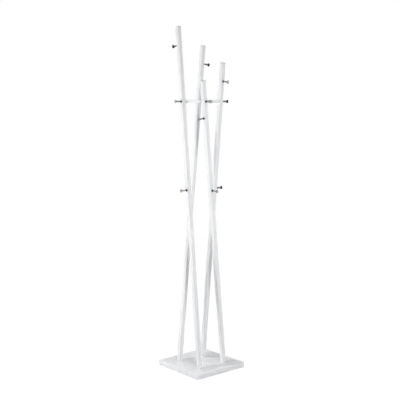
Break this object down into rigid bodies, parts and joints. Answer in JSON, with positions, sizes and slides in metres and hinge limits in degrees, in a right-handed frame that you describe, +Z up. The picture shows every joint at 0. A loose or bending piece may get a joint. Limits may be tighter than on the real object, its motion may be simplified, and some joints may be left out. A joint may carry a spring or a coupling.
{
  "type": "standing coat rack",
  "caption": "Standing coat rack: leaning white square posts on a square marble slab, tied by a small square ring and fitted with chromed pegs.",
  "frame": {"origin": "on the floor, under the middle of the slab", "axes": "+Z up along the rack's height; X and Y along the slab's sides; the tallest post has its foot at (-x, -y) and leans towards +Y"},
  "size_m": [0.3, 0.3, 1.6665],
  "materials": {
    "marble": "honed white marble with faint grey veins",
    "white_powder_coat": "satin powder coat",
    "chrome": "bright chrome",
    "cap_plastic": "light grey moulded plastic",
    "pad_rubber": "matt self-adhesive pad",
    "zinc_steel": "zinc plated"
  },
  "bodies": {
    "root": {"base_slab": "marble", "end_cap_1": "cap_plastic", "end_cap_2": "cap_plastic", "end_cap_3": "cap_plastic", "end_cap_4": "cap_plastic", "floor_pad_1": "pad_rubber", "floor_pad_2": "pad_rubber", "floor_pad_3": "pad_rubber", "floor_pad_4": "pad_rubber", "foot_block_1": "zinc_steel", "foot_block_2": "zinc_steel", "foot_block_3": "zinc_steel", "foot_block_4": "zinc_steel", "foot_bolt_1": "zinc_steel", "foot_bolt_2": "zinc_steel", "foot_bolt_3": "zinc_steel", "foot_bolt_4": "zinc_steel", "foot_washer_1": "zinc_steel", "foot_washer_2": "zinc_steel", "foot_washer_3": "zinc_steel", "foot_washer_4": "zinc_steel", "middle_peg_1": "chrome", "middle_peg_2": "chrome", "middle_peg_3": "chrome", "middle_peg_4": "chrome", "middle_rivet_nut_1": "zinc_steel", "middle_rivet_nut_2": "zinc_steel", "middle_rivet_nut_3": "zinc_steel", "middle_rivet_nut_4": "zinc_steel", "post_1": "white_powder_coat", "post_2": "white_powder_coat", "post_3": "white_powder_coat", "post_4": "white_powder_coat", "ring_bar_1": "white_powder_coat", "ring_bar_2": "white_powder_coat", "ring_bar_3": "white_powder_coat", "ring_bar_4": "white_powder_coat", "ring_nut_1": "zinc_steel", "ring_nut_2": "zinc_steel", "ring_nut_3": "zinc_steel", "ring_nut_4": "zinc_steel", "ring_peg_1": "chrome", "ring_peg_2": "chrome", "ring_peg_3": "chrome", "ring_peg_4": "chrome", "upper_peg_1": "chrome", "upper_peg_2": "chrome", "upper_peg_3": "chrome", "upper_peg_4": "chrome", "upper_rivet_nut_1": "zinc_steel", "upper_rivet_nut_2": "zinc_steel", "upper_rivet_nut_3": "zinc_steel", "upper_rivet_nut_4": "zinc_steel"}
  },
  "joints": []
}
